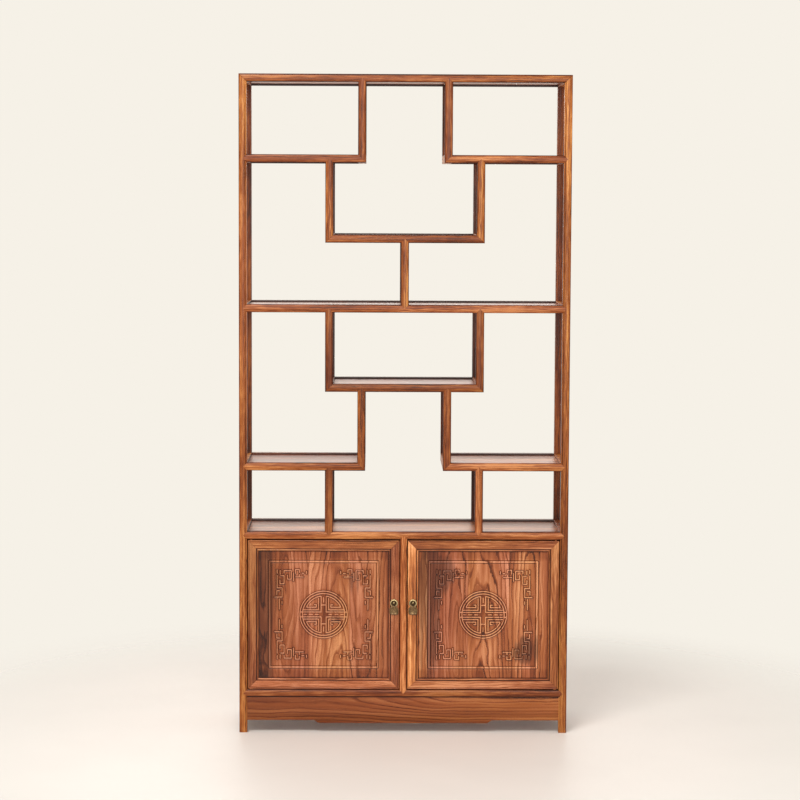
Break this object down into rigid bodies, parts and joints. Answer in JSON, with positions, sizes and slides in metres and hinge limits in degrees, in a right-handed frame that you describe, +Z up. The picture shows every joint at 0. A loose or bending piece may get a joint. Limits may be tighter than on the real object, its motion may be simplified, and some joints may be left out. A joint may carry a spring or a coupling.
{
  "type": "display lattice cabinet",
  "caption": "Tall hardwood display stand with a symmetrical stepped lattice of open shelves over a low cabinet with two carved doors and hanging brass pulls.",
  "frame": {"origin": "on the floor, under the middle of the cabinet", "axes": "+X to the viewer's right, +Y to the back, +Z up"},
  "size_m": [1, 0.3055, 2],
  "materials": {
    "frame_wood": "orange-brown elm with a glossy clear lacquer",
    "panel_wood": "orange-brown elm boards with a glossy clear lacquer",
    "carved_wood": "carved elm with a satin lacquer",
    "brass": "antique brass, dark in the hollows",
    "steel": "plain nickel-plated steel"
  },
  "bodies": {
    "frame": {"front_left_post": "frame_wood", "front_right_post": "frame_wood", "rear_left_post": "frame_wood", "rear_right_post": "frame_wood", "top_frame": "frame_wood", "top_panel": "panel_wood", "upper_left_shelf_frame": "frame_wood", "upper_left_shelf_panel": "panel_wood", "upper_right_shelf_frame": "frame_wood", "upper_right_shelf_panel": "panel_wood", "upper_middle_shelf_frame": "frame_wood", "upper_middle_shelf_panel": "panel_wood", "long_shelf_frame": "frame_wood", "long_shelf_panel": "panel_wood", "lower_middle_shelf_frame": "frame_wood", "lower_middle_shelf_panel": "panel_wood", "lower_left_shelf_frame": "frame_wood", "lower_left_shelf_panel": "panel_wood", "lower_right_shelf_frame": "frame_wood", "lower_right_shelf_panel": "panel_wood", "cabinet_top_frame": "frame_wood", "cabinet_top_panel": "panel_wood", "tier1_left_uprights": "frame_wood", "tier1_right_uprights": "frame_wood", "tier2_left_uprights": "frame_wood", "tier2_right_uprights": "frame_wood", "tier3_uprights": "frame_wood", "tier4_left_uprights": "frame_wood", "tier4_right_uprights": "frame_wood", "tier5_left_uprights": "frame_wood", "tier5_right_uprights": "frame_wood", "tier6_left_uprights": "frame_wood", "tier6_right_uprights": "frame_wood", "base_frame": "frame_wood", "base_panel": "panel_wood", "left_side_panel": "panel_wood", "right_side_panel": "panel_wood", "back_panel": "panel_wood", "door_mullion": "frame_wood", "front_apron": "frame_wood", "rear_apron": "frame_wood", "left_apron": "frame_wood", "right_apron": "frame_wood", "left_catch": "frame_wood", "right_catch": "frame_wood", "left_magnet": "steel", "right_magnet": "steel"},
    "left_door": {"left_door_frame": "frame_wood", "left_door_panel": "carved_wood", "left_handle_plate": "brass", "left_handle_staple": "brass", "left_strike": "steel"},
    "right_door": {"right_door_frame": "frame_wood", "right_door_panel": "carved_wood", "right_handle_plate": "brass", "right_handle_staple": "brass", "right_strike": "steel"},
    "left_drop": {"left_handle_drop": "brass"},
    "right_drop": {"right_handle_drop": "brass"}
  },
  "joints": [
    {"name": "left_door_hinge", "type": "hinge", "parent": "frame", "child": "left_door", "pos_m": [-0.4635, -0.142, 0.36425], "axis": [0, 0, -1], "range_deg": [0, 105]},
    {"name": "right_door_hinge", "type": "hinge", "parent": "frame", "child": "right_door", "pos_m": [0.4635, -0.142, 0.36425], "axis": [0, 0, 1], "range_deg": [0, 105]},
    {"name": "left_drop_swing", "type": "hinge", "parent": "left_door", "child": "left_drop", "pos_m": [-0.029, -0.1509, 0.39887], "axis": [-1, 0, 0], "range_deg": [0, 85]},
    {"name": "right_drop_swing", "type": "hinge", "parent": "right_door", "child": "right_drop", "pos_m": [0.029, -0.1509, 0.39887], "axis": [-1, 0, 0], "range_deg": [0, 85]}
  ]
}
